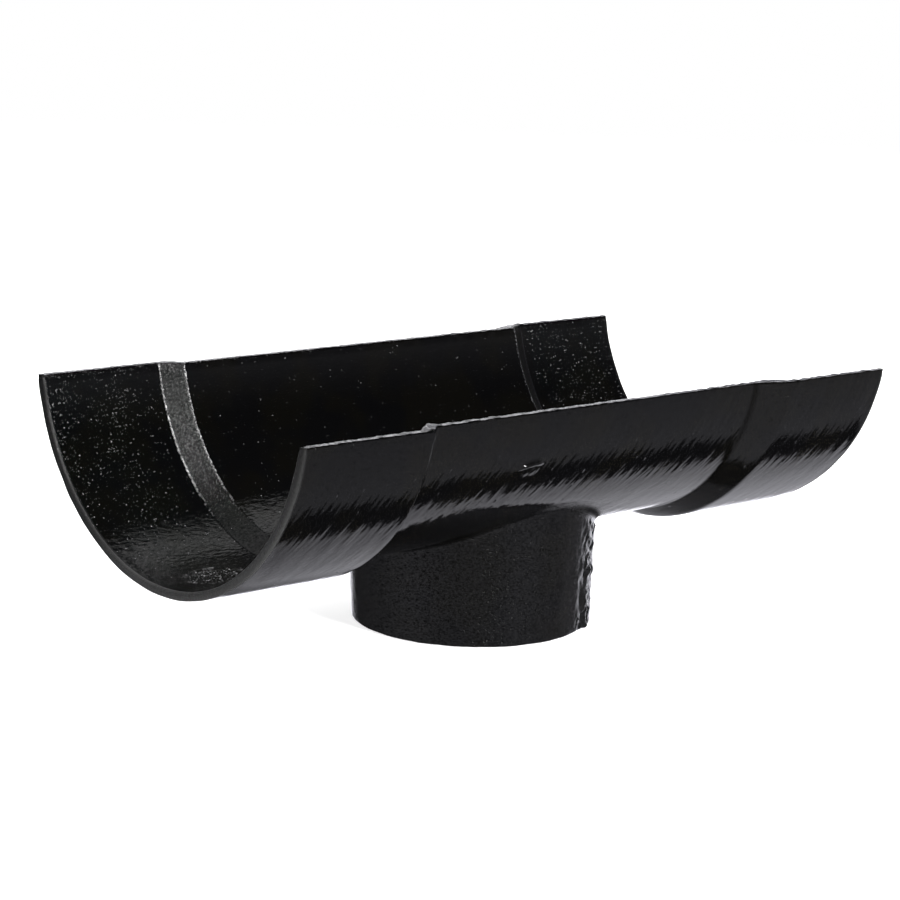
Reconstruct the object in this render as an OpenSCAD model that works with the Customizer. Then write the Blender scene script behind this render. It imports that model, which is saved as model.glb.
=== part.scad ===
// Running outlet for a half-round cast iron gutter.
// A short length of trough with a socket at each end and a tapered spigot below, cast as one piece.
// The origin is the centre of the spigot's lower end. X runs along the gutter and Z is up.

/* [Trough] */
// Length over both socket ends
overall_l = 240; // [210:1:320]
// Height from the spigot's lower end to the rims
overall_h = 80; // [70:1:130]
// Inner radius of the trough between the sockets
trough_r = 59.5; // [52:0.5:70]
// How far the rims lie below the centre of the trough's arc
rim_drop = 11.2; // [4:0.2:20]
// Metal thickness of the trough and the sockets
wall = 3.3; // [2.6:0.1:5]
// Radius on the edges of the cast ends
edge_r = 1; // [0.4:0.1:1.2]

/* [Sockets] */
// Depth of each socket, from its end to the foot of the inner ramp
socket_depth = 43; // [30:1:50]
// Room for sealant between a gutter's end and the socket, measured radially
joint_gap = 0.9; // [0.5:0.1:3]
// Length of the ramp inside, from the socket down to the trough
ramp_l = 6.7; // [4:0.1:10]
// Length of the sloping shoulder outside, from the right socket down to the trough
right_shoulder_l = 11; // [6:0.1:12]
// Length of the left socket's shoulder, which falls more steeply
left_shoulder_l = 3.2; // [3:0.1:12]
// Radius of the hollow at the foot of both shoulders
shoulder_fillet = 3; // [1:0.5:4]

/* [Spigot] */
// Outer diameter at the lower end
spigot_d = 75; // [64:1:84]
// Metal thickness at the lower end
spigot_wall = 3.5; // [2.6:0.1:6]
// Taper of the outside, in degrees to each side
spigot_draft = 3.3; // [0:0.1:5]
// Run of the rounded mouth where the trough's floor falls into the bore
mouth_run = 5; // [2:0.5:8]
// Run of the fillet outside, between the trough and the spigot
saddle_run = 2.6; // [1.5:0.1:5]

/* [Cast marks] */
// Length of the sunk oval panel in the left socket's floor
panel_l = 21; // [14:0.5:26]
// Width of the oval panel
panel_w = 15.6; // [10:0.2:18]
// Depth of the oval panel
panel_depth = 0.6; // [0.3:0.1:1.2]
// Distance of the casting nub left of the spigot's axis
nub_x = 27; // [0:1:50]
// Angle of the nub below the level of the arc's centre, in degrees
nub_angle = 28; // [16:1:45]
// Radius of the nub's footprint
nub_r = 4.4; // [2:0.2:7]
// Height of the nub above the outer wall
nub_h = 1; // [0.4:0.1:2]

/* [Hidden] */
$fn = 144;
// Small overlap that lets joined solids share volume
lap = 0.05;
// Stretch by which a cutter runs past a face
past = 5;

arc_z = overall_h + rim_drop;
end_x = overall_l / 2;
trough_out_r = trough_r + wall;
socket_r = trough_out_r + joint_gap;
socket_out_r = socket_r + wall;
step = socket_r - trough_r;

// Stations along X of the inner ramp and the upper edge of the outer shoulder
ramp_foot_x = end_x - socket_depth;
ramp_top_x = ramp_foot_x - ramp_l;
shoulder_edge_x = ramp_foot_x - wall;

spigot_r = spigot_d / 2;
bore_r = spigot_r - spigot_wall;

// Points of each curve on the saddle rings, rings round the spigot, and steps of each shoulder's hollow
curve_n = 5;
ring_n = 72;
hollow_n = 6;

// Height of a cylinder of radius r round the trough's axis, at distance rho from the spigot's axis
function trough_z(r, rho, a) = arc_z - sqrt(r * r - pow(rho * sin(a), 2));

// Distance from the spigot's axis at which its outside meets the trough's outside
function meet_rho(a, rho, turns) = turns == 0 ? rho
    : meet_rho(a, spigot_r + trough_z(trough_out_r, rho, a) * tan(spigot_draft), turns - 1);

// Quadratic curve that leaves p towards c and arrives at q from c
function bend(p, c, q) = [for (i = [0:curve_n - 1]) let (s = i / (curve_n - 1))
    (1 - s) * (1 - s) * p + 2 * s * (1 - s) * c + s * s * q];

// Section of the outside fillet at angle a, as [distance from axis, height]
function fillet_section(a) =
    let (rho = meet_rho(a, spigot_r, 6),
         corner = [rho, trough_z(trough_out_r, rho, a)],
         low = corner - saddle_run * [tan(spigot_draft), 1],
         far_rho = rho + saddle_run,
         far = [far_rho, trough_z(trough_out_r, far_rho, a)])
    concat(bend(low - [lap, 0], corner, far + [0, lap]), [corner + [-wall / 3, wall / 3]]);

// Section of the metal taken off the bore's upper edge at angle a
function mouth_section(a) =
    let (corner = [bore_r, trough_z(trough_r, bore_r, a)],
         low = corner - [0, mouth_run],
         far_rho = bore_r + mouth_run,
         far = [far_rho, trough_z(trough_r, far_rho, a)])
    concat(bend(low - [lap, 0], corner, far + [0, lap]), [corner + [-wall / 3, wall]]);

// Points of the hollow at the foot of a shoulder of length l, from its slope down to the trough
function shoulder_hollow(l) =
    let (slope_a = atan(step / l),
         start_x = shoulder_edge_x - l - shoulder_fillet * tan(slope_a / 2))
    [for (i = [hollow_n:-1:0]) let (a = slope_a * i / hollow_n)
        [trough_out_r + shoulder_fillet * (1 - cos(a)), start_x + shoulder_fillet * sin(a)]];

// Half of the section through the wall, round one socket and down a shoulder of length l
function half_profile(l) = [
    [trough_r, ramp_top_x],
    [socket_r, ramp_foot_x],
    [socket_r, end_x - edge_r],
    [socket_r + edge_r, end_x - edge_r],
    [socket_r + edge_r, end_x],
    [socket_out_r - edge_r, end_x],
    [socket_out_r - edge_r, end_x - edge_r],
    [socket_out_r, end_x - edge_r],
    [socket_out_r, shoulder_edge_x],
    each shoulder_hollow(l)
];

// Closed ring of sections, each a list of [distance from axis, height]
module saddle_ring(sections) {
    n = len(sections[0]);
    turns = len(sections);
    points = [for (i = [0:turns - 1]) let (a = 360 * i / turns)
        for (p = sections[i]) [p[0] * cos(a), p[0] * sin(a), p[1]]];
    faces = [for (i = [0:turns - 1], j = [0:n - 1])
        let (k = (i + 1) % turns, m = (j + 1) % n)
        each [[i * n + j, i * n + m, k * n + m], [i * n + j, k * n + m, k * n + j]]];
    polyhedron(points = points, faces = faces);
}

// Solid of revolution round the trough's axis, from a profile drawn as [radius, x]
module round_trough_axis() {
    translate([0, 0, arc_z]) rotate([0, 90, 0]) rotate_extrude() children();
}

// Section through the wall, from one socket's end to the other
module wall_profile() {
    left = half_profile(left_shoulder_l);
    left_half = [for (i = [len(left) - 1:-1:0]) [left[i][0], -left[i][1]]];
    polygon(concat(half_profile(right_shoulder_l), left_half));
    for (r = [socket_r + edge_r, socket_out_r - edge_r], side = [-1, 1])
        translate([r, side * (end_x - edge_r)]) circle(edge_r);
}

// Trough and sockets, open above the rims
module trough() {
    intersection() {
        round_trough_axis() wall_profile();
        translate([-overall_l, -2 * socket_out_r, overall_h - 4 * socket_out_r])
            cube([2 * overall_l, 4 * socket_out_r, 4 * socket_out_r]);
    }
}

// Tapered outside of the spigot, with a rounded lower end
module spigot() {
    top_z = overall_h - wall;
    edge_x = spigot_r + edge_r * tan(spigot_draft) - edge_r / cos(spigot_draft);
    rotate_extrude() {
        polygon([
            [bore_r - lap, edge_r],
            [bore_r + edge_r, edge_r],
            [bore_r + edge_r, 0],
            [edge_x, 0],
            [edge_x, edge_r],
            [edge_x + edge_r * cos(spigot_draft), edge_r - edge_r * sin(spigot_draft)],
            [spigot_r + top_z * tan(spigot_draft), top_z],
            [bore_r - lap, top_z]
        ]);
        for (x = [bore_r + edge_r, edge_x])
            translate([x, edge_r]) circle(edge_r);
    }
}

// Low lump left by the sand on the near wall
module nub() {
    ball_r = (nub_r * nub_r + nub_h * nub_h) / (2 * nub_h);
    reach = trough_out_r + nub_h - ball_r;
    translate([-nub_x, -reach * cos(nub_angle), arc_z - reach * sin(nub_angle)]) sphere(ball_r);
}

// What joins the trough from outside, ending inside the thickness of its wall
module outside_parts() {
    difference() {
        union() {
            spigot();
            saddle_ring([for (i = [0:ring_n - 1]) fillet_section(360 * i / ring_n)]);
            nub();
        }
        translate([-end_x, 0, arc_z]) rotate([0, 90, 0]) cylinder(h = overall_l, r = trough_r + wall / 2);
    }
}

// Oval of four arcs, centred on the origin
module oval(length, width) {
    end_r = width * 0.38;
    end_c = length / 2 - end_r;
    rise = width / 2 - end_r;
    side_c = (end_c * end_c - rise * rise) / (2 * rise);
    side_r = width / 2 + side_c;
    meet_x = side_r * end_c / (side_r - end_r);
    for (side = [-1, 1]) translate([side * end_c, 0]) circle(end_r);
    intersection() {
        translate([0, -side_c]) circle(side_r);
        translate([0, side_c]) circle(side_r);
        square([2 * meet_x, width], center = true);
    }
}

// Sunk oval panel in the floor of the left socket
module panel_recess() {
    intersection() {
        translate([-(end_x - socket_depth / 2), 0, 0]) linear_extrude(arc_z) oval(panel_l, panel_w);
        translate([-end_x, 0, arc_z]) rotate([0, 90, 0])
            cylinder(h = socket_depth, r = socket_r + panel_depth);
    }
}

// The whole casting
module outlet_casting() {
    color([0.09, 0.09, 0.1])
    difference() {
        union() {
            trough();
            outside_parts();
        }
        translate([0, 0, -past]) cylinder(h = overall_h + past, r = bore_r);
        saddle_ring([for (i = [0:ring_n - 1]) mouth_section(360 * i / ring_n)]);
        panel_recess();
    }
}

outlet_casting();
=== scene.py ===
# Running outlet for a half-round gutter: one iron casting in gloss black paint, standing on its spigot.
import math

import bmesh
import bpy
from mathutils import Matrix, Vector, noise


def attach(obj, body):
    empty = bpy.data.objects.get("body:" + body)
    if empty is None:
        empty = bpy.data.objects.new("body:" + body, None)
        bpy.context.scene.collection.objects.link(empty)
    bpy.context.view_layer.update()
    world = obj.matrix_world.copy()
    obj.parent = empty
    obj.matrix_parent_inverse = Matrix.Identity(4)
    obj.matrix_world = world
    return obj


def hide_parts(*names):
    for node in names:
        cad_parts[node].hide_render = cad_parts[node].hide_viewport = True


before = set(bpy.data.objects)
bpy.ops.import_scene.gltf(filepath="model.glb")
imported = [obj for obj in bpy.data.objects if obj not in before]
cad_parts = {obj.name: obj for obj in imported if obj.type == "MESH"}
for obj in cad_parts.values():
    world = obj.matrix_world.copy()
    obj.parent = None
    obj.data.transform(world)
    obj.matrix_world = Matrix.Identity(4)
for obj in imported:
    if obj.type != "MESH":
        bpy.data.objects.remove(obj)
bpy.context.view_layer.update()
print("frame loaded:", sorted(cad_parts))


# shape of the casting, in metres
casting = {
    "length": 0.240,
    "rimZ": 0.080,
    "arcZ": 0.0912,               # height of the trough's own axis, above the rims
    "troughR": 0.0595,            # inside
    "wall": 0.0033,
    "step": 0.0042,               # how much wider a socket is than the trough
    "rampTop": 0.0703,            # inner ramp, from the trough out to the socket
    "rampFoot": 0.0770,
    "shoulderEdge": 0.0737,       # outer shoulder: long on the right, steep on the left
    "shoulderFoot": {1: 0.0627, -1: 0.0705},
    "hollowReach": {1: 0.0008, -1: 0.0014},
    "crispReach": 0.00026,        # half the length of the rounding at the crisp corners
    "upperReach": {1: 0.0013, -1: 0.00026},
    "edge": 0.0009,               # rounding of the cast ends and the foot
    "rimEdge": 0.00055,
    "edgePull": 0.72,             # how far these roundings are drawn into their corners
    "spigotR": 0.0375,
    "boreR": 0.0340,
    "draft": math.radians(3.3),
    "saddleRun": 0.0026,
    "mouthRun": 0.0050,
}

mesh = {
    "stepX": 0.00122,
    "fineX": 0.00028,
    "stepArc": 0.00125,
    "fineArc": 0.0005,
    "growth": 0.36,               # how fast cells grow away from a crisp corner
    "past": 0.0005,               # the ends and the rims count as corners this far outside
    "windowX": 0.0445,            # part of both walls that the spigot's mesh takes over
    "windowAngle": math.radians(46),
    "edgeParts": (3, 2, 3),       # rounding, flat, rounding
    "spigotParts": {
        "outerPlan": 12, "saddle": 7, "outside": 34, "footOuter": 4, "footFlat": 2,
        "footInner": 4, "bore": 24, "mouth": 7, "innerPlan": 11,
    },
}


def softCorner(d, reach):
    # 0 before the corner and d after it, with a short parabola across it
    if d <= -reach:
        return 0.0
    if d >= reach:
        return d
    return (d + reach) ** 2 / (4 * reach)


def outerRadius(x):
    c, side = casting, 1 if x > 0 else -1
    foot = c["shoulderFoot"][side]
    slope = c["step"] / (c["shoulderEdge"] - foot)
    rise = softCorner(abs(x) - foot, c["hollowReach"][side])
    rise -= softCorner(abs(x) - c["shoulderEdge"], c["upperReach"][side])
    return c["troughR"] + c["wall"] + slope * rise


def innerRadius(x):
    c = casting
    slope = c["step"] / (c["rampFoot"] - c["rampTop"])
    rise = softCorner(abs(x) - c["rampTop"], c["crispReach"])
    rise -= softCorner(abs(x) - c["rampFoot"], c["crispReach"])
    return c["troughR"] + slope * rise


def wallPoint(x, share, inner, drop):
    # share runs from -1 at the near rim to 1 at the far one; drop is how far below the rim plane it ends
    radius = innerRadius(x) if inner else outerRadius(x)
    angle = share * math.acos((casting["arcZ"] - casting["rimZ"] + drop) / radius)
    return Vector((x, radius * math.sin(angle), casting["arcZ"] - radius * math.cos(angle)))


def curve(p, corner, q, f, pull=casting["edgePull"]):
    # rounds a corner between p and q
    a, b, c = (1 - f) ** 2, 2 * f * (1 - f) * pull, f * f
    return (p * a + corner * b + q * c) / (a + b + c)


def halfStations(end, step, fine, corners):
    # distances from the middle to one end, closer together near the crisp corners
    stops = [0.0]
    while stops[-1] < end:
        near = min(abs(stops[-1] - c) for c in corners)
        stops.append(stops[-1] + min(step, fine + mesh["growth"] * near))
    return [s * end / stops[-1] for s in stops]


def mirrored(half):
    return [-s for s in reversed(half[1:])] + half


def between(values, index):
    low = min(int(index), len(values) - 2)
    return values[low] + (values[low + 1] - values[low]) * (index - low)


def nearest(values, wanted):
    return min(range(len(values)), key=lambda i: abs(values[i] - wanted))


def smooth(f):
    f = min(1.0, max(0.0, f))
    return f * f * (3 - 2 * f)


# lines of the mesh along the gutter, and round the arc as shares of the way to a rim
crispX = [casting["shoulderFoot"][1]] + [casting[key] for key in ("rampTop", "shoulderEdge", "rampFoot")]
crispX.append(casting["length"] / 2 + mesh["past"])
halfX = halfStations(casting["length"] / 2 - casting["edge"], mesh["stepX"], mesh["fineX"], crispX)
stationsX = mirrored(halfX)
rimAngle = math.acos((casting["arcZ"] - casting["rimZ"]) / (casting["troughR"] + casting["wall"]))
rimArc = rimAngle * (casting["troughR"] + casting["wall"])
halfArc = halfStations(rimArc, mesh["stepArc"], mesh["fineArc"], [rimArc + mesh["past"]])
stationsArc = [s / rimArc for s in mirrored(halfArc)]
lastX, lastArc = len(stationsX) - 1, len(stationsArc) - 1
windowX = (nearest(stationsX, -mesh["windowX"]), nearest(stationsX, mesh["windowX"]))
windowShare = mesh["windowAngle"] / rimAngle
windowArc = (nearest(stationsArc, -windowShare), nearest(stationsArc, windowShare))


# spigot: one row of points per direction, from the wall's outside round its foot to the wall's inside
def troughHeight(radius, rho, turn):
    return casting["arcZ"] - math.sqrt(radius ** 2 - (rho * math.sin(turn)) ** 2)


def meetingRho(radius, turn):
    # distance from the spigot's axis at which its tapered outside meets the trough's
    rho = casting["spigotR"]
    for _ in range(6):
        rho = casting["spigotR"] + troughHeight(radius, rho, turn) * math.tan(casting["draft"])
    return rho


def spigotRow(x, share):
    c = casting
    outR, inR, e, taper = c["troughR"] + c["wall"], c["troughR"], c["edge"], math.tan(c["draft"])
    outerEnd, innerEnd = (wallPoint(x, share, inner, c["rimEdge"]) for inner in (False, True))
    turn = math.atan2(outerEnd.y + innerEnd.y, outerEnd.x + innerEnd.x)

    def place(rho, z):
        return Vector((rho * math.cos(turn), rho * math.sin(turn), z))

    def planBlend(radius, end, rho, f):
        # straight on the unrolled wall, from the window's edge to a circle round the spigot
        endArc = radius * math.asin(end.y / radius)
        ringArc = radius * math.asin(rho * math.sin(turn) / radius)
        x, arc = end.x + (rho * math.cos(turn) - end.x) * f, endArc + (ringArc - endArc) * f
        return Vector((x, radius * math.sin(arc / radius), c["arcZ"] - radius * math.cos(arc / radius)))

    rho = meetingRho(outR, turn)
    corner = place(rho, troughHeight(outR, rho, turn))
    farRho = rho + c["saddleRun"]
    far = place(farRho, troughHeight(outR, farRho, turn))
    low = place(rho - c["saddleRun"] * taper, corner.z - c["saddleRun"])
    footTop = place(c["spigotR"] + e * taper, e)
    footOut = place(c["spigotR"] - e, 0)
    footIn = place(c["boreR"] + e, 0)
    boreLow = place(c["boreR"], e)
    mouthCorner = place(c["boreR"], troughHeight(inR, c["boreR"], turn))
    mouthLow = mouthCorner - Vector((0, 0, c["mouthRun"]))
    mouthFarRho = c["boreR"] + c["mouthRun"]
    mouthFar = place(mouthFarRho, troughHeight(inR, mouthFarRho, turn))

    makers = {
        "outerPlan": lambda f: planBlend(outR, outerEnd, farRho, f),
        "saddle": lambda f: curve(far, corner, low, f, pull=1),
        "outside": lambda f: low.lerp(footTop, f),
        "footOuter": lambda f: curve(footTop, place(c["spigotR"], 0), footOut, f),
        "footFlat": lambda f: footOut.lerp(footIn, f),
        "footInner": lambda f: curve(footIn, place(c["boreR"], 0), boreLow, f),
        "bore": lambda f: boreLow.lerp(mouthLow, f),
        "mouth": lambda f: curve(mouthLow, mouthCorner, mouthFar, f, pull=1),
        "innerPlan": lambda f: planBlend(inR, innerEnd, mouthFarRho, 1 - f),
    }
    row = [(outerEnd, "outerPlan", 0.0)]
    for name, count in mesh["spigotParts"].items():
        row += [(makers[name](k / count), name, k / count) for k in range(1, count + 1)]
    return row


def edgeRow(x, share, atEnd, atRim):
    # section over a rim or an end, from the wall's outside to its inside
    r = casting["rimEdge"]
    xEdge = math.copysign(casting["length"] / 2, x) if atEnd else x
    drop = 0 if atRim else r
    outer, inner = wallPoint(x, share, False, r), wallPoint(x, share, True, r)
    outerCorner, innerCorner = wallPoint(xEdge, share, False, drop), wallPoint(xEdge, share, True, drop)
    across = (innerCorner - outerCorner).normalized() * (casting["edge"] if atEnd else r)
    first, second, third = mesh["edgeParts"]
    row = [curve(outer, outerCorner, outerCorner + across, k / first) for k in range(first)]
    row += [(outerCorner + across).lerp(innerCorner - across, k / second) for k in range(second)]
    return row + [curve(innerCorner - across, innerCorner, inner, k / third) for k in range(third + 1)]


# relief of the cast surface, in metres; the unevenness only sinks, so the skin stays near the CAD size
relief = {
    "lump": {"size": 0.011, "height": 0.00010, "seed": 3},
    "swell": {"size": 0.034, "height": 0.00014, "seed": 9},
    "ripple": {"alongX": 0.0031, "alongArc": 0.012, "height": 0.000045, "seed": 5},
    "innerSeed": 40,              # the inside isn't a copy of the outside
    "spigotLump": {"size": 0.0065, "height": 0.00024, "seed": 21},
    "spigotRipple": {"size": 0.0023, "height": 0.00014, "seed": 27},
    "rimRag": {"size": 0.0024, "height": 0.0007, "seed": 17, "sink": 0.7, "start": 0.985, "blend": 0.01},
    "endWave": {"size": 0.0075, "height": 0.00030, "seed": 51, "reach": 0.009},
}

seam = {                          # parting seam down the spigot, with a ragged fin; directions in degrees
    "direction": -56.0, "halfWidth": 12.0, "height": 0.0008,
    "rough": ((0.0016, 1.0, 61), (0.00416, 0.6, 63)),    # size, share and seed
    "finStart": -62.5, "finFull": -56.0, "finFall": -36.0, "finEnd": -30.0,
    "finHeight": 0.0016, "finTop": 0.027, "finLeast": 0.15,
    "finBend": ((0.007, 3.5, 67), (0.0022, 2.0, 69)),    # size, degrees and seed
}

mark = {                          # sunk oval panel in the left socket's floor
    "x": -0.0985, "length": 0.021, "width": 0.0156, "depth": 0.0005, "slope": 0.0012,
    "lip": 0.00018, "lipOut": 0.0005, "lipWidth": 0.0005, "faceBlend": 0.0010,
    "pebble": {"size": 0.0012, "height": 0.00055, "seed": 31},
    "around": (0.014, 0.011, 0.033),    # half length, half width and top of the floor round it
    "fine": (0.0125, 0.0098, 3),        # half length and half width of the finer mesh, and its cuts
}

nub = {                           # small lump with a ledge, left by the sand on the near wall
    "x": -0.0275, "angle": math.radians(-62.0), "length": 0.0098, "width": 0.0058, "height": 0.0011,
    "dome": 0.27, "domeEdge": 1.2,      # share of the height, and edge in half widths
    "ledgeUp": 0.75, "ledgeBend": 0.35, "ledgeLean": 0.2, "ledgeWidth": 0.23,
    "ledgeEnd": 1.2, "ledgeFade": 0.8, "around": 1.6,
    "fine": (0.0075, 0.0055, 2),
}

rimLump = {                       # swelling of the near rim at the left shoulder
    "x": -0.0722, "length": 0.0052, "height": 0.00055, "fade": 0.8, "start": 0.955, "blend": 0.04,
}

zones = {                         # where the paint changes; distances in metres
    "rampMargin": 0.0001, "rampBlend": 0.0006,
    "rightRamp": 0.4, "rightRampDull": 0.75,
    "endReach": 0.00135, "endBlend": 0.0005,
    "rimReach": 0.0011, "rimBlend": 0.00055,
    "gritStart": (0.002, 0.25), "gritFull": {1: 0.006, -1: 0.024},    # from the ramp's foot outwards
    "cornerBlend": 0.26, "cornerStart": 0.02,    # corner over the spigot, on the right half only
}


def ovalDistance(x, y):
    # metres outside the oval's outline, negative inside
    a, b = mark["length"] / 2, mark["width"] / 2
    r = math.hypot(x / a, y / b)
    return (r - 1) * min(a, b) if r > 0 else -b


def grain(p, size, seed):
    return noise.noise(Vector((p.x / size + seed, p.y / size - seed, p.z / size + 2 * seed)))


def sunk(co, kind, shift=0):
    # from the full height below the surface up to the surface
    return kind["height"] * (grain(co, kind["size"], kind["seed"] + shift) - 1) / 2


def wallRelief(co, arc, inner):
    shift = relief["innerSeed"] if inner else 0
    height = sunk(co, relief["lump"], shift) + sunk(co, relief["swell"], shift)
    wave, rag, ripple = relief["endWave"], relief["rimRag"], relief["ripple"]
    atEnd = smooth(1 - (casting["length"] / 2 - abs(co.x)) / wave["reach"])
    height += atEnd * sunk(co, wave)
    atRim = smooth((abs(arc) / rimArc - rag["start"]) / rag["blend"])
    ragged = noise.noise(Vector((co.x / rag["size"], arc, rag["seed"])))
    height += atRim * rag["height"] * (ragged - rag["sink"]) / 2
    streak = noise.noise(Vector((co.x / ripple["alongX"] + shift, arc / ripple["alongArc"], ripple["seed"])))
    return height + ripple["height"] * (streak - 1)


def seamRelief(co):
    s = seam
    direction = math.degrees(math.atan2(co.y, co.x))
    ragged = sum(share * grain(co, size, seed) for size, share, seed in s["rough"])
    rough = math.exp(-((direction - s["direction"]) / s["halfWidth"]) ** 2) * s["height"] * ragged
    bent = direction + sum(degrees * grain(co, size, seed) for size, degrees, seed in s["finBend"])
    raised = smooth((bent - s["finStart"]) / (s["finFull"] - s["finStart"]))
    raised *= smooth((s["finEnd"] - bent) / (s["finEnd"] - s["finFall"]))
    return rough + raised * s["finHeight"] * max(s["finLeast"], 1 - co.z / s["finTop"])


def spigotRelief(co, part, f):
    height = sunk(co, relief["spigotLump"]) + sunk(co, relief["spigotRipple"])
    if part == "outside":
        height += seamRelief(co)
    if part == "footOuter":
        height += seamRelief(co) * (1 - f)
    return height


# the casting's skin: a grid folded into the wall, with the spigot pulled out of it
bm = bmesh.new()
bmesh.ops.create_grid(bm, x_segments=lastX, y_segments=lastArc, size=1)
bmesh.ops.translate(bm, verts=bm.verts, vec=(1, 1, 0))
bmesh.ops.scale(bm, verts=bm.verts, vec=(lastX / 2, lastArc / 2, 1))


def inWindow(p, margin=0.0):
    inX = windowX[0] - margin < p.x < windowX[1] + margin
    return inX and windowArc[0] - margin < p.y < windowArc[1] + margin


bmesh.ops.delete(bm, geom=[f for f in bm.faces if inWindow(f.calc_center_median())], context="FACES")
made = bmesh.ops.extrude_face_region(bm, geom=bm.verts[:] + bm.edges[:] + bm.faces[:], use_keep_orig=True)
innerSide = [g for g in made["geom"] if isinstance(g, bmesh.types.BMVert)]
bmesh.ops.translate(bm, verts=innerSide, vec=(0, 0, 1))

upright = [e for e in bm.edges if abs(e.verts[0].co.z - e.verts[1].co.z) > 0.5]
roundWindow = [e for e in upright if inWindow(e.verts[0].co, 0.5)]
roundOutside = [e for e in upright if not inWindow(e.verts[0].co, 0.5)]
windowCuts, edgeCuts = sum(mesh["spigotParts"].values()) - 1, sum(mesh["edgeParts"]) - 1
bmesh.ops.subdivide_edges(bm, edges=roundWindow, cuts=windowCuts, use_grid_fill=True)
bmesh.ops.subdivide_edges(bm, edges=roundOutside, cuts=edgeCuts, use_grid_fill=True)


def refine(level, x, share, fine):
    # finer cells on one wall round a small feature
    halfLength, halfWidth, cuts = fine
    halfShare = halfWidth / rimArc
    i0, i1 = nearest(stationsX, x - halfLength), nearest(stationsX, x + halfLength)
    j0, j1 = nearest(stationsArc, share - halfShare), nearest(stationsArc, share + halfShare)
    faces = []
    for f in bm.faces:
        p = f.calc_center_median()
        if abs(p.z - level) < 0.001 and i0 < p.x < i1 and j0 < p.y < j1:
            faces.append(f)
    edges = {e for f in faces for e in f.edges}
    bmesh.ops.subdivide_edges(bm, edges=list(edges), cuts=cuts, use_grid_fill=True)


refine(1, mark["x"], 0, mark["fine"])
refine(0, nub["x"], nub["angle"] / rimAngle, nub["fine"])
print("skin laid out:", len(bm.verts), "points")

flowLayer = bm.verts.layers.float_vector.new("castFlow")      # along the gutter, along the arc, wall side
zoneLayer = bm.verts.layers.float_vector.new("castZone")      # trough, socket inside, spigot
finishLayer = bm.verts.layers.float_vector.new("castFinish")  # inner ramp, end faces, rims
detailLayer = bm.verts.layers.float_vector.new("castDetail")  # sunk panel's face, its lip, dull corners
reliefOf = {}
spigotRows, edgeRows = {}, {}


def pointOfRow(rows, key, level, makeRow):
    # each row of points over an edge or round the spigot is worked out once
    if key not in rows:
        rows[key] = makeRow()
    row = rows[key]
    return row[round(level * (len(row) - 1))]


def markZones(v, co, x, inner, onWall):
    z, side = zones, 1 if x > 0 else -1
    fromRamp = abs(co.x) - casting["rampFoot"]
    startReach, startShare = z["gritStart"]
    inSocket = startShare * smooth(fromRamp / startReach)
    inSocket += (1 - startShare) * smooth(fromRamp / z["gritFull"][side])
    onRamp = smooth((abs(co.x) - casting["rampTop"] - z["rampMargin"]) / z["rampBlend"])
    onRamp *= smooth((casting["rampFoot"] - z["rampMargin"] - abs(co.x)) / z["rampBlend"]) * inner
    if inner and side == 1:
        v[detailLayer] = Vector((0, 0, z["rightRampDull"] * onRamp))
        onRamp *= z["rightRamp"]
    onEnd = smooth((abs(co.x) - casting["length"] / 2 + z["endReach"]) / z["endBlend"])
    onRim = smooth((co.z - casting["rimZ"] + z["rimReach"]) / z["rimBlend"])
    v[zoneLayer] = Vector((onWall, inSocket * inner, 1 - onWall))
    v[finishLayer] = Vector((onRamp, onEnd, onRim))


for v in bm.verts:
    i, j, level = v.co
    x, share = between(stationsX, i), between(stationsArc, j)
    onWall, inner, key = 1.0, level > 0.5, (round(i, 2), round(j, 2))
    if level < 0.001 or level > 0.999:
        co = wallPoint(x, share, inner, casting["rimEdge"])
        height = wallRelief(co, share * rimArc, inner)
    elif inWindow(v.co, 0.5):
        co, part, f = pointOfRow(spigotRows, key, level, lambda: spigotRow(x, share))
        onWall = {"outerPlan": 1 - smooth(2 * f - 1), "innerPlan": smooth(2 * f)}.get(part, 0.0)
        radius = casting["troughR"] + (0 if part == "innerPlan" else casting["wall"])
        share = math.asin(max(-1, min(1, co.y / radius))) / rimAngle
        height = onWall * wallRelief(co, share * rimArc, part == "innerPlan")
        height += (1 - onWall) * spigotRelief(co, part, f)
        if part == "saddle":
            inCorner = math.exp(-((f - 0.5) / zones["cornerBlend"]) ** 2)
            v[detailLayer] = Vector((0, 0, inCorner * smooth(co.x / zones["cornerStart"])))
    else:
        atEnd, atRim = not 0.5 < i < lastX - 0.5, not 0.5 < j < lastArc - 0.5
        co = pointOfRow(edgeRows, key, level, lambda: edgeRow(x, share, atEnd, atRim))
        height = wallRelief(co, share * rimArc, inner)
    v[flowLayer] = Vector((x, share * rimArc, 1.0 if inner else 0.0))
    markZones(v, co, x, inner, onWall)
    reliefOf[v] = height
    v.co = co

bmesh.ops.recalc_face_normals(bm, faces=bm.faces)
bm.normal_update()


def sinkPanel():
    # sunk oval with a low lip and a pebbled face
    halfLength, halfWidth, top = mark["around"]
    for v in bm.verts:
        if abs(v.co.x - mark["x"]) < halfLength and abs(v.co.y) < halfWidth and v.co.z < top:
            d = ovalDistance(v.co.x - mark["x"], v.co.y)
            lip = math.exp(-((d - mark["lipOut"]) / mark["lipWidth"]) ** 2)
            face = smooth(-d / mark["faceBlend"])
            if v[flowLayer].z > 0.5:
                v[detailLayer] = Vector((face, lip, 0))
            pebble = mark["pebble"]
            raised = max(0.0, grain(v.co, pebble["size"], pebble["seed"])) * pebble["height"] * face
            reliefOf[v] += mark["lip"] * lip - mark["depth"] * smooth(0.5 - d / mark["slope"]) + raised


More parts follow.
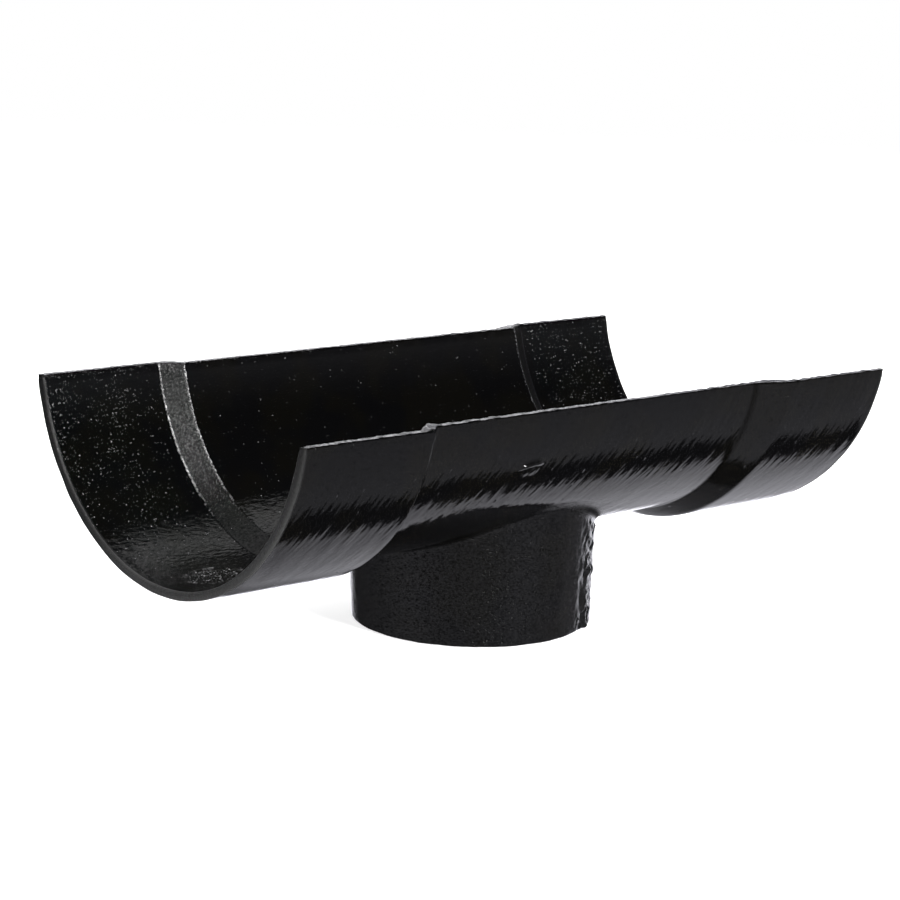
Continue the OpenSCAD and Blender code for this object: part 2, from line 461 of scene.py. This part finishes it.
def raiseNub():
    # a low swelling with a ledge along its upper edge; u and w run across it in half widths
    n = nub
    for v in bm.verts:
        flow = v[flowLayer]
        u = (flow.x - n["x"]) / (n["length"] / 2)
        w = (flow.y - n["angle"] * rimArc / rimAngle) / (n["width"] / 2)
        r = math.hypot(u, w)
        if flow.z < 0.5 and v[zoneLayer].x > 0.9 and r < n["around"]:
            above = w + n["ledgeUp"] - n["ledgeBend"] * u * u + n["ledgeLean"] * u
            ledge = math.exp(-(above / n["ledgeWidth"]) ** 2)
            ledge *= smooth((n["ledgeEnd"] - abs(u)) / n["ledgeFade"])
            reliefOf[v] += n["height"] * (n["dome"] * smooth(n["domeEdge"] - r) + ledge)


def swellRim():
    for v in bm.verts:
        fromLump, up = abs(v.co.x - rimLump["x"]) / rimLump["length"], -v[flowLayer].y / rimArc
        along = smooth((1 - fromLump) / rimLump["fade"])
        reliefOf[v] += rimLump["height"] * along * smooth((up - rimLump["start"]) / rimLump["blend"])


sinkPanel()
raiseNub()
swellRim()
for v in bm.verts:
    v.co += v.normal * reliefOf[v]

skin = bpy.data.meshes.new("castIronOutlet")
bm.to_mesh(skin)
bm.free()
for polygon in skin.polygons:
    polygon.use_smooth = True
outlet = bpy.data.objects.new("castIronOutlet", skin)
bpy.context.scene.collection.objects.link(outlet)
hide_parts("outlet_casting")
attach(outlet, "root")
print("casting skinned:", len(skin.polygons), "faces")


# node helpers
def addNode(tree, kind, inputs=None, **settings):
    n = tree.nodes.new(kind)
    for key, value in settings.items():
        setattr(n, key, value)
    for key, value in (inputs or {}).items():
        if isinstance(value, bpy.types.NodeSocket):
            tree.links.new(value, n.inputs[key])
        else:
            n.inputs[key].default_value = value
    return n


def calc(tree, operation, *values):
    return addNode(tree, "ShaderNodeMath", dict(enumerate(values)), operation=operation).outputs[0]


def addUp(tree, total, value, share):
    return calc(tree, "MULTIPLY_ADD", value, share, total)


def without(tree, value, share=1.0):
    # 1 where the value is 0, and less by its share elsewhere
    return calc(tree, "MULTIPLY_ADD", value, -share, 1.0)


def product(tree, first, *others):
    for other in others:
        first = calc(tree, "MULTIPLY", first, other)
    return first


def distanceFrom(tree, value, centre):
    return calc(tree, "ABSOLUTE", calc(tree, "SUBTRACT", value, centre))


def ramp(tree, value, low, high):
    # 0 below low, 1 above high, smooth between them
    n = addNode(tree, "ShaderNodeMapRange", {"Value": value, "From Min": low, "From Max": high},
                interpolation_type="SMOOTHSTEP")
    return n.outputs["Result"]


def mixed(tree, kind, share, first, second):
    n = addNode(tree, "ShaderNodeMix", {"Factor": share, "A": first, "B": second}, data_type=kind)
    return n.outputs["Result"]


def stretched(tree, place, factors):
    return addNode(tree, "ShaderNodeMapping", {"Vector": place, "Scale": factors}).outputs[0]


def noiseAt(tree, place, scale, detail, roughness=0.5):
    # runs both ways from zero, mostly within 0.25
    n = addNode(tree, "ShaderNodeTexNoise", {"Vector": place, "Scale": scale, "Detail": detail,
                                             "Roughness": roughness})
    return calc(tree, "SUBTRACT", n.outputs["Fac"], 0.5)


def domes(tree, place, kind, share, dimensions="3D"):
    # scattered round lumps, or pits where rise is negative: "rise" is the slope half way out,
    # and the smallest are 0.3 of the size
    cells = addNode(tree, "ShaderNodeTexVoronoi", {"Vector": place, "Scale": kind["scale"]},
                    voronoi_dimensions=dimensions)
    odds = addNode(tree, "ShaderNodeSeparateColor", {"Color": cells.outputs["Color"]}).outputs
    spread = calc(tree, "MULTIPLY", odds[1], odds[1])
    reach = calc(tree, "MULTIPLY_ADD", spread, 0.7 * kind["size"], 0.3 * kind["size"])
    out = calc(tree, "DIVIDE", cells.outputs["Distance"], reach)
    dome = calc(tree, "MAXIMUM", calc(tree, "SUBTRACT", 1.0, calc(tree, "MULTIPLY", out, out)), 0.0)
    present = calc(tree, "LESS_THAN", odds[0], share)
    return calc(tree, "MULTIPLY", product(tree, dome, reach, present), kind["rise"] / kind["scale"])


# the tops of the lumps, where the painted glints go
def tipsOf(tree, lumps, kind):
    low, high = (share * kind["rise"] / kind["scale"] for share in kind["tips"])
    return ramp(tree, lumps, low, high)


# gloss black paint over a rough casting; scales are per metre, heights and distances in metres
paint = {
    "colour": (0.0007, 0.0007, 0.0008, 1),
    "warmColour": (0.0011, 0.0010, 0.0007, 1),
    "warmth": {"scale": 55, "range": (-0.10, 0.12)},
    "dustAndSheenColour": (0.034, 0.034, 0.034, 1),              # painted sheen on the ends, and a dusted floor in the sockets
    # painted sheen on the end faces: lighter below these heights, and less of it towards the far rim
    "endSheen": {"height": (0.120, 0.030), "far": (0.010, 0.045), "farLoss": 0.62},
    "floorDust": {"arc": (0.021, 0.009), "share": 0.10, "gritLoss": 0.8},
    # painted glints: a light colour on the tips of nibs, pebbles and beads and along the panel's lip
    "glintColour": (0.42, 0.42, 0.43, 1),
    "glintBright": {"scale": 700, "range": (-0.10, 0.34)},
    "pebbleGlint": 0.22,
    "lipGlint": 0.22,

    # relief: streaks outside, round the arc; waves inside, along the floor; peel and grain everywhere
    "streak": {"scale": 480, "stretch": (1, 0.19, 1), "lean": 0.32, "height": 0.00013,
               "arc": (0.049, 0.057), "least": 0.25},
    "wave": {"scale": 720, "stretch": (0.5, 1, 1), "height": 0.00020, "arc": (0.040, 0.034)},
    "peel": {"scale": 380, "height": 0.00005},
    "grain": {"scale": 1700, "height": 0.00005, "least": 0.10},
    "grainShare": {"inside": 0.65, "onRamp": 2.6, "onSpigot": 1.6, "onEnd": 3.2, "onRim": 3.0},
    "rag": {"scale": 420, "height": 0.00036},            # along the rims
    "bead": {"scale": 1850, "height": 0.00012, "reach": (0.0007, 0.0002),    # along the inner ramps' edges; bright is the share of painted glint on their tips
             "tips": (0.02, 0.14), "arc": (0.030, 0.042), "end": 0.001, "bright": 0.20},
    "nib": {"scale": 1750, "size": 0.42, "rise": 0.30, "tips": (0.02, 0.5), "least": 0.01, "inside": 0.04,
            "crowdScale": 70, "crowd": (2.4, 0.60)},
    "pebble": {"scale": 1450, "size": 0.62, "rise": 0.34, "tips": (0.03, 0.24), "share": 0.95},
    "pit": {"scale": 230, "size": 0.10, "rise": -0.36, "share": 0.40, "stretch": (1, 0.55, 1)},
    "dash": {"scale": 800, "size": 0.46, "rise": -0.30, "share": 0.50, "stretch": (1, 1, 2.1),
             "depth": (-0.0000001, -0.00002), "dull": 0.8},

    # dull specks, and what they take off the gloss
    "speckle": {"scale": 1250, "stretch": (1, 1, 1.7), "range": (-0.12, 0.18)},
    "speckleShare": {"onSpigot": 0.70, "onRamp": 0.75, "onRim": 1.0},
    "freckle": {"scale": 1150, "range": (0.10, 0.19), "share": 0.30},        # outside
    "sunkFoot": {"reach": (0.0019, 0.0003), "share": 0.42},    # paint drawn into the long shoulder's hollow
    "endDull": 0.60,
    "rimDull": {"range": (-0.25, 0.05), "share": 0.55},
    "gloss": {"full": 0.5, "loss": 0.62, "least": 0.05},
    "glossShare": {"onSpigot": 0.12, "onRamp": 0.14},
    "cornerDull": 0.95,
    "roughness": {"least": 0.042, "scale": 45, "share": 0.03},
    "rougher": {"onRamp": 0.12, "onSpigot": 0.12, "onEnd": 0.30, "onRim": 0.08, "dullCorner": 0.50},
}


def castPlaces(t):
    # where on the casting a point lies, from its position and the skin's layers
    coords = addNode(t, "ShaderNodeTexCoord").outputs["Object"]
    position = addNode(t, "ShaderNodeSeparateXYZ", {0: coords}).outputs
    at = {"coords": coords, "x": position["X"], "z": position["Z"]}
    layers = {
        "castFlow": ("flowX", "flowArc", "inside"),
        "castZone": ("onWall", "inSocket", "onSpigot"),
        "castFinish": ("onRamp", "onEnd", "onRim"),
        "castDetail": ("onPanel", "onLip", "dullCorner"),
    }
    for layer, names in layers.items():
        at[layer] = addNode(t, "ShaderNodeAttribute", attribute_name=layer).outputs["Vector"]
        at.update(zip(names, addNode(t, "ShaderNodeSeparateXYZ", {0: at[layer]}).outputs))
    at["arc"] = calc(t, "ABSOLUTE", at["flowArc"])
    at["innerWall"] = calc(t, "MULTIPLY", at["inside"], at["onWall"])
    at["outside"] = calc(t, "SUBTRACT", at["onWall"], at["innerWall"])
    low = ramp(t, at["arc"], *paint["floorDust"]["arc"])
    at["lowFloor"] = product(t, low, at["innerWall"], at["inSocket"])
    return at


def addPlaces(t, total, at, shares):
    for place, share in shares.items():
        total = addUp(t, total, at[place], share)
    return total


def brushMarks(t, at):
    # brushed and drained paint: leaning streaks round the outside, waves along the floor inside
    streak, wave, peel = paint["streak"], paint["wave"], paint["peel"]
    leaning = addNode(t, "ShaderNodeCombineXYZ", {
        "X": addUp(t, at["flowX"], at["flowArc"], streak["lean"]), "Y": at["flowArc"], "Z": at["inside"],
    }).outputs[0]
    streaks = noiseAt(t, stretched(t, leaning, streak["stretch"]), streak["scale"], 1)
    share = calc(t, "MULTIPLY_ADD", ramp(t, at["arc"], *streak["arc"]), 1 - streak["least"], streak["least"])
    height = product(t, streaks, at["outside"], share, streak["height"])
    waves = noiseAt(t, stretched(t, at["castFlow"], wave["stretch"]), wave["scale"], 3)
    smoothPlaces = calc(t, "MAXIMUM", at["onRamp"], at["onPanel"])
    waves = product(t, waves, at["innerWall"], ramp(t, at["arc"], *wave["arc"]), without(t, smoothPlaces))
    height = addUp(t, height, waves, wave["height"])
    return addUp(t, height, noiseAt(t, at["coords"], peel["scale"], 2), peel["height"])


def sandGrain(t, at):
    # faint outside, stronger inside and on the ramps, the spigot, the ends and the rims
    kind = paint["grain"]
    share = addPlaces(t, kind["least"], at, paint["grainShare"])
    return product(t, noiseAt(t, at["coords"], kind["scale"], 3, 0.6), share, kind["height"])


def rampBeads(t, at):
    # beads of paint along both edges of the inner ramps: their height, and the painted glints on their tips,
    # of which the right ramp's outer edge has none
    bead = paint["bead"]
    middle = (casting["rampTop"] + casting["rampFoot"]) / 2
    half = (casting["rampFoot"] - casting["rampTop"]) / 2
    fromMiddle = distanceFrom(t, calc(t, "ABSOLUTE", at["x"]), middle)
    onEdge = ramp(t, distanceFrom(t, fromMiddle, half), *bead["reach"])
    beads = noiseAt(t, at["coords"], bead["scale"], 1)
    tips = product(t, onEdge, onEdge, ramp(t, beads, *bead["tips"]), at["innerWall"])
    tips = product(t, tips, ramp(t, at["arc"], *bead["arc"]))
    tips = product(t, tips, ramp(t, at["x"], middle + bead["end"], middle - bead["end"]))
    return product(t, beads, onEdge, at["innerWall"], bead["height"]), tips


def gritNibs(t, at):
    # nibs of grit under the paint, crowded in the sockets, fewer on their floor, none on the ramps
    nib = paint["nib"]
    crowd = calc(t, "MULTIPLY_ADD", noiseAt(t, at["coords"], nib["crowdScale"], 3), *nib["crowd"])
    share = addUp(t, nib["least"], at["inside"], nib["inside"])
    inSocket = addUp(t, at["inSocket"], at["lowFloor"], -paint["floorDust"]["gritLoss"])
    share = addUp(t, share, inSocket, crowd)
    return domes(t, at["coords"], nib, addUp(t, share, at["onRamp"], -nib["inside"]))


def dullness(t, at, dashes, ragged):
    # specks and places where the paint has sunk into the sand surface and shines less
    speckle, freckle, foot, dash = paint["speckle"], paint["freckle"], paint["sunkFoot"], paint["dash"]
    speckles = noiseAt(t, stretched(t, at["coords"], speckle["stretch"]), speckle["scale"], 2, 0.6)
    dull = product(t, ramp(t, speckles, *speckle["range"]), addPlaces(t, 0.0, at, paint["speckleShare"]))
    freckles = ramp(t, noiseAt(t, at["coords"], freckle["scale"], 1), *freckle["range"])
    dull = addUp(t, dull, product(t, freckles, at["outside"]), freckle["share"])
    sunkFoot = ramp(t, distanceFrom(t, at["x"], casting["shoulderFoot"][1]), *foot["reach"])
    dull = addUp(t, dull, product(t, sunkFoot, at["outside"]), foot["share"])
    dull = addUp(t, dull, at["onEnd"], paint["endDull"])
    onRim = product(t, at["onRim"], ramp(t, ragged, *paint["rimDull"]["range"]))
    dull = addUp(t, dull, onRim, paint["rimDull"]["share"])
    return addUp(t, dull, ramp(t, dashes, *dash["depth"]), dash["dull"])


def paintGloss(t, at, dull):
    kind = paint["gloss"]
    gloss = calc(t, "MAXIMUM", calc(t, "MULTIPLY_ADD", dull, -kind["loss"], kind["full"]), kind["least"])
    gloss = addPlaces(t, gloss, at, paint["glossShare"])
    return calc(t, "MULTIPLY", gloss, without(t, at["dullCorner"], paint["cornerDull"]))


def paintRoughness(t, at):
    kind = paint["roughness"]
    patches = noiseAt(t, at["coords"], kind["scale"], 3)
    return addPlaces(t, addUp(t, kind["least"], patches, kind["share"]), at, paint["rougher"])


def paintColour(t, at, nibs, pebbles, beadGlints):
    # black with warmer patches, a painted sheen on the ends, dusted floors, and painted glints on the tips
    # of nibs, pebbles and beads and along the panel's lip
    warmth, sheen, bright = paint["warmth"], paint["endSheen"], paint["glintBright"]
    warm = ramp(t, noiseAt(t, at["coords"], warmth["scale"], 2), *warmth["range"])
    colour = mixed(t, "RGBA", warm, paint["colour"], paint["warmColour"])
    # painted sheen: the ends are painted lighter towards the bottom, and less so towards the far rim
    sheenOnEnds = product(t, at["onEnd"], ramp(t, at["z"], *sheen["height"]))
    sheenOnEnds = product(t, sheenOnEnds, without(t, ramp(t, at["flowArc"], *sheen["far"]), sheen["farLoss"]))
    dustAndSheen = addUp(t, sheenOnEnds, at["lowFloor"], paint["floorDust"]["share"])
    colour = mixed(t, "RGBA", dustAndSheen, colour, paint["dustAndSheenColour"])
    brightness = ramp(t, noiseAt(t, at["coords"], bright["scale"], 1), *bright["range"])
    # painted glints on the tips of nibs, beads and pebbles and along the panel's lip
    tips = product(t, tipsOf(t, nibs, paint["nib"]), brightness, at["inside"])
    tips = addUp(t, tips, beadGlints, paint["bead"]["bright"])
    tips = addUp(t, tips, tipsOf(t, pebbles, paint["pebble"]), paint["pebbleGlint"])
    tips = addUp(t, tips, product(t, at["onLip"], brightness), paint["lipGlint"])
    return mixed(t, "RGBA", tips, colour, paint["glintColour"])


def blackPaint():
    m = bpy.data.materials.new("glossBlackPaint")
    m.use_nodes = True
    t = m.node_tree
    t.nodes.clear()
    at = castPlaces(t)
    coords, pit, dash, pebble, rag = at["coords"], paint["pit"], paint["dash"], paint["pebble"], paint["rag"]

    beads, beadGlints = rampBeads(t, at)
    ragged = noiseAt(t, coords, rag["scale"], 2)
    nibs = gritNibs(t, at)
    pits = domes(t, stretched(t, at["castFlow"], pit["stretch"]), pit, pit["share"], "2D")
    dashes = product(t, domes(t, stretched(t, coords, dash["stretch"]), dash, dash["share"]), at["onSpigot"])
    pebbles = product(t, domes(t, coords, pebble, pebble["share"]), at["onPanel"])

    height = brushMarks(t, at)
    for part in (sandGrain(t, at), beads, nibs, dashes, pebbles):
        height = calc(t, "ADD", height, part)
    height = addUp(t, height, product(t, ragged, at["onRim"]), rag["height"])
    height = addUp(t, height, pits, at["outside"])
    bump = addNode(t, "ShaderNodeBump", {"Height": height, "Strength": 1.0, "Distance": 1.0})
    shader = addNode(t, "ShaderNodeBsdfPrincipled", {
        "Base Color": paintColour(t, at, nibs, pebbles, beadGlints),
        "Roughness": paintRoughness(t, at),
        "Specular IOR Level": paintGloss(t, at, dullness(t, at, dashes, ragged)),
        "Normal": bump.outputs["Normal"],
    })
    addNode(t, "ShaderNodeOutputMaterial", {"Surface": shader.outputs["BSDF"]})
    return m


skin.materials.append(blackPaint())
print("paint mixed")


# floor, light and camera; distances in metres, angles in degrees
studio = {
    "floorColour": 0.86,
    "floorGlow": 0.80,            # light table under the paper
    "floorFade": (1.1, 2.0),      # the paper runs out into the backdrop between these distances
    "room": 0.028,                # what the paint sees above, away from the softboxes
    "horizon": (-0.17, 0.60),
    "tint": (1.0, 0.995, 1.075, 1),
    # brightness of the white table and screens below: on the left by the azimuth from +X towards +Y,
    # on the right by the angle under the gutter, from -Y through straight down to +Y
    "left": ((-180, 0.39), (-155, 0.31), (-115, 0.30), (-90, 0.31), (90, 0.07), (118, 0.15), (138, 0.24),
             (158, 0.36), (180, 0.40)),
    "right": ((-180, 0.07), (-110, 0.07), (-60, 0.40), (69, 0.385), (71, 0.34), (74, 0.045), (180, 0.04)),
    "white": ((-180, 0.0), (89, 0.0), (92.5, 0.62), (112, 0.77), (132, 0.68), (148, 0.36), (164, 0.0),
              (180, 0.0)),
    # how far the direction points along +X: from the left ring to the right one, where the screens get
    # dimmer, where the white table goes from dim to full, and where it ends
    "leftToRight": (-0.25, 0.05),
    "fallOff": (0.2, 0.75),
    "whiteReach": (0.47, 0.68),
    "whiteEnd": (0.78, 0.90),
    "fallShare": 0.34,
    "whiteDim": 0.145,
    "whiteSide": (42, 55),        # azimuths where the white table ends
    "whiteSideLoss": 0.9,
    # a side screen: brightness, heights, and azimuths of both its edges
    "screen": {"bright": 1.9, "heights": (-0.46, -0.31), "start": (3, 14), "end": (78, 60)},
}

# azimuth, elevation, distance, width, height, brightness in a mirror, and whether the paint mirrors it
softboxes = {
    "overheadSoftbox": (60, 82, 1.9, 1.3, 1.3, 5.0, False),
    "backSoftbox": (37, 44, 2.0, 0.54, 0.54, 0.68, True),
    "topSoftbox": (115, 58, 2.0, 1.5, 1.5, 0.52, True),
    "frontStrip": (-88, 42, 2.0, 0.26, 2.9, 42, True),
    "frontSoftbox": (-130, 37, 2.0, 0.95, 2.5, 1.7, True),
    "screenBehind": (60, 7, 3.0, 1.8, 0.9, 1.35, True),
}

view = {
    "place": (-0.5324, -0.5893, 0.2175), "yaw": 48.44, "down": 11.63, "roll": 1.90,
    "lens": 102.57, "sensor": 36,    # in millimetres
    "clip": 0.01,
}


def palePaper():
    m = bpy.data.materials.new("palePaper")
    m.use_nodes = True
    t = m.node_tree
    t.nodes.clear()
    place = addNode(t, "ShaderNodeTexCoord").outputs["Object"]
    distance = addNode(t, "ShaderNodeVectorMath", {0: place}, operation="LENGTH").outputs["Value"]
    paper = addNode(t, "ShaderNodeBsdfDiffuse", {"Color": (studio["floorColour"],) * 3 + (1,)})
    glow = addNode(t, "ShaderNodeEmission", {"Color": (1, 1, 1, 1), "Strength": studio["floorGlow"]})
    lit = addNode(t, "ShaderNodeAddShader", {0: paper.outputs[0], 1: glow.outputs[0]})
    clear = addNode(t, "ShaderNodeBsdfTransparent")
    fade = ramp(t, distance, *studio["floorFade"])
    faded = addNode(t, "ShaderNodeMixShader", {"Fac": fade, 1: lit.outputs[0], 2: clear.outputs[0]})
    addNode(t, "ShaderNodeOutputMaterial", {"Surface": faded.outputs[0]})
    return m


def paleFloor():
    data = bpy.data.meshes.new("paleFloor")
    disc = bmesh.new()
    bmesh.ops.create_circle(disc, cap_ends=True, segments=64, radius=studio["floorFade"][1])
    disc.to_mesh(data)
    disc.free()
    data.materials.append(palePaper())
    floor = bpy.data.objects.new("paleFloor", data)
    bpy.context.scene.collection.objects.link(floor)
    floor.visible_glossy = False


def softbox(name, azimuth, elevation, distance, width, height, brightness, inPaint):
    # faces the object from that direction
    a, e = math.radians(azimuth), math.radians(elevation)
    place = Vector((math.cos(a) * math.cos(e), math.sin(a) * math.cos(e), math.sin(e))) * distance
    data = bpy.data.lights.new(name, "AREA")
    data.shape = "RECTANGLE"
    data.size, data.size_y = width, height
    data.energy = brightness * math.pi * width * height
    lamp = bpy.data.objects.new(name, data)
    lamp.location = place
    lamp.rotation_mode = "QUATERNION"
    lamp.rotation_quaternion = (-place).to_track_quat("-Z", "Y")
    lamp.visible_camera = False
    lamp.visible_glossy = inPaint
    bpy.context.scene.collection.objects.link(lamp)


def ringOf(tree, degrees, stops):
    # brightness round a circle, from a list of (degrees, brightness)
    ring = addNode(tree, "ShaderNodeValToRGB", {"Fac": calc(tree, "MULTIPLY_ADD", degrees, 1 / 360, 0.5)})
    elements = ring.color_ramp.elements
    for _ in stops[1:-1]:
        elements.new(0.5)
    for element, (angle, bright) in zip(elements, stops):
        element.position, element.color = (angle + 180) / 360, (bright, bright, bright, 1)
    return ring.outputs["Color"]


def roomBelow(t, d):
    # what the paint sees under the horizon: a ring of screens on each side, a white table and a side screen
    s, screen = studio, studio["screen"]
    azimuth = calc(t, "MULTIPLY", calc(t, "ARCTAN2", d["Y"], d["X"]), 180 / math.pi)
    under = calc(t, "ARCTAN2", calc(t, "MULTIPLY", d["Z"], -1.0), calc(t, "MULTIPLY", d["Y"], -1.0))
    under = calc(t, "MULTIPLY", under, 180 / math.pi)
    reach = calc(t, "MULTIPLY_ADD", ramp(t, d["X"], *s["whiteReach"]), 1 - s["whiteDim"], s["whiteDim"])
    white = product(t, ringOf(t, under, s["white"]), reach, without(t, ramp(t, d["X"], *s["whiteEnd"])))
    white = product(t, white, without(t, ramp(t, azimuth, *s["whiteSide"]), s["whiteSideLoss"]))
    fall = without(t, ramp(t, d["X"], *s["fallOff"]), s["fallShare"])
    right = calc(t, "ADD", product(t, ringOf(t, under, s["right"]), fall), white)
    onScreen = product(t, ramp(t, azimuth, *screen["start"]), ramp(t, azimuth, *screen["end"]))
    onScreen = product(t, onScreen, ramp(t, d["Z"], *screen["heights"]))
    right = mixed(t, "FLOAT", onScreen, right, screen["bright"])
    return mixed(t, "FLOAT", ramp(t, d["X"], *s["leftToRight"]), ringOf(t, azimuth, s["left"]), right)


def studioRoom():
    # the camera sees a white backdrop, the paint sees the room
    world = bpy.data.worlds.new("studioRoom")
    world.use_nodes = True
    bpy.context.scene.world = world
    t = world.node_tree
    t.nodes.clear()
    direction = addNode(t, "ShaderNodeTexCoord").outputs["Generated"]
    d = addNode(t, "ShaderNodeSeparateXYZ", {0: direction}).outputs
    above = ramp(t, d["Z"], *studio["horizon"])
    seen = mixed(t, "FLOAT", above, roomBelow(t, d), studio["room"])
    room = addNode(t, "ShaderNodeBackground", {"Color": studio["tint"], "Strength": seen})
    backdrop = addNode(t, "ShaderNodeBackground", {"Color": (1, 1, 1, 1), "Strength": 1.0})
    rayKind = addNode(t, "ShaderNodeLightPath").outputs["Is Camera Ray"]
    shown = addNode(t, "ShaderNodeMixShader", {"Fac": rayKind, 1: room.outputs[0], 2: backdrop.outputs[0]})
    addNode(t, "ShaderNodeOutputWorld", {"Surface": shown.outputs[0]})


def photoCamera():
    yaw, down, roll = (math.radians(view[key]) for key in ("yaw", "down", "roll"))
    forward = Vector((math.cos(yaw) * math.cos(down), math.sin(yaw) * math.cos(down), -math.sin(down)))
    right = Vector((math.sin(yaw), -math.cos(yaw), 0))
    up = right.cross(forward)
    cameraX = right * math.cos(roll) + up * math.sin(roll)
    cameraY = up * math.cos(roll) - right * math.sin(roll)
    data = bpy.data.cameras.new("photoCamera")
    data.sensor_width, data.lens = view["sensor"], view["lens"]
    data.clip_start = view["clip"]
    camera = bpy.data.objects.new("photoCamera", data)
    turned = Matrix((cameraX, cameraY, -forward)).transposed()
    camera.matrix_world = Matrix.Translation(view["place"]) @ turned.to_4x4()
    bpy.context.scene.collection.objects.link(camera)
    bpy.context.scene.camera = camera


paleFloor()
for name, values in softboxes.items():
    softbox(name, *values)
studioRoom()
photoCamera()
bpy.context.scene.view_settings.view_transform = "Standard"
print("studio lit")
